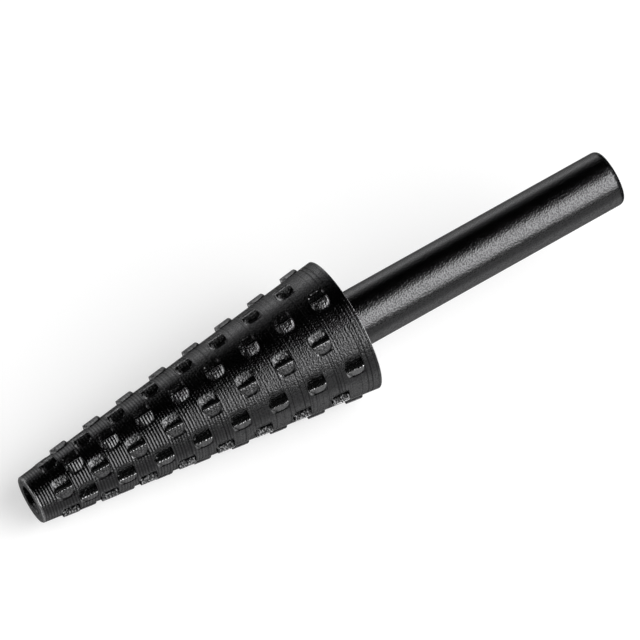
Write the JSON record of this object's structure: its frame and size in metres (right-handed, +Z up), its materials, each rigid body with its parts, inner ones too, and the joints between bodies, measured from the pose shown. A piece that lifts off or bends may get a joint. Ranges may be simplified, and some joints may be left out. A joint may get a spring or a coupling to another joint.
{
  "type": "conical rotary rasp",
  "caption": "Tapered rotary rasp: a cone-shaped steel head with raised half-round teeth in staggered columns, on a plain round shank for a drill chuck.",
  "frame": {"origin": "under the middle of the tool's box, on the surface that it lies on", "axes": "+X along the tool from the small tip towards the shank, seen from above; +Z up; the tool lies on its teeth with the shank raised"},
  "size_m": [0.0682, 0.0144, 0.0145],
  "materials": {
    "dark_steel": "satin blackened steel with fine turning marks"
  },
  "bodies": {
    "root": {"rotary_rasp": "dark_steel"}
  },
  "joints": []
}
